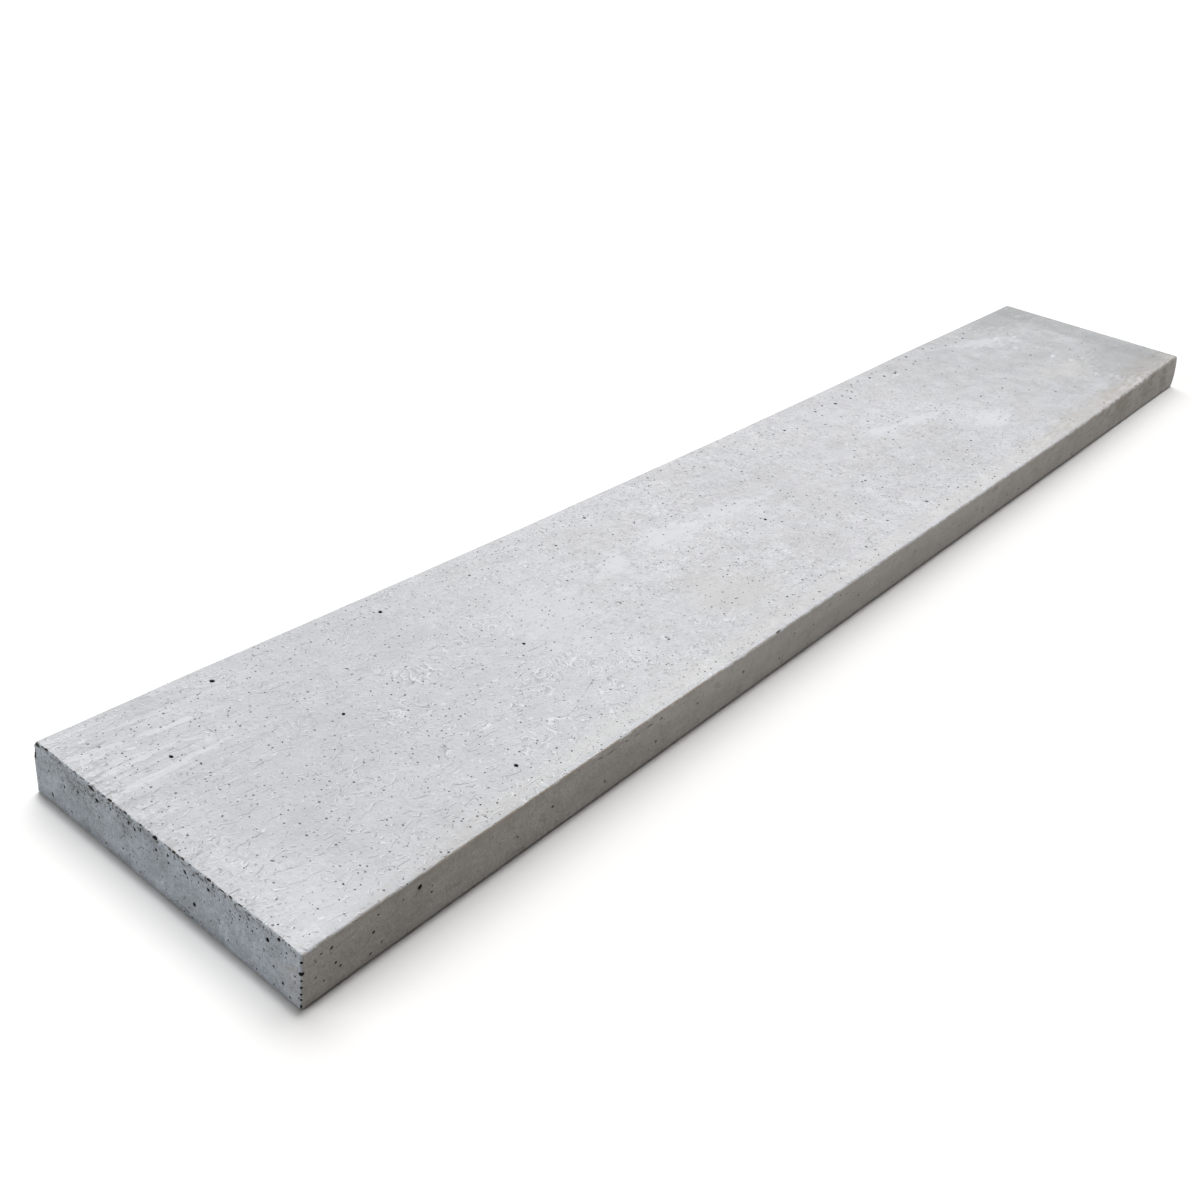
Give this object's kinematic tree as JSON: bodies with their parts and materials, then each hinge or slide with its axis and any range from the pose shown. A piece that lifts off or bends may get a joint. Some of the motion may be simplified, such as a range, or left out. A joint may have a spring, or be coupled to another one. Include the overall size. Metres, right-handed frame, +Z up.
{
  "type": "concrete gravel board",
  "caption": "Plain smooth precast concrete gravel board for the foot of a fence, lying flat, with eased long arrises and square ends.",
  "frame": {"origin": "middle of the underside that the board lies on", "axes": "+X along the length, away from the end with the void in its upright edge; +Y across the width, from the front side with the rounded arris to the back side with the chamfered arris; +Z up through the thickness"},
  "size_m": [1.83, 0.3, 0.05],
  "materials": {
    "concrete": "smooth cast pale grey concrete with blowholes and a matt surface"
  },
  "bodies": {
    "root": {"gravel_board": "concrete"}
  },
  "joints": []
}
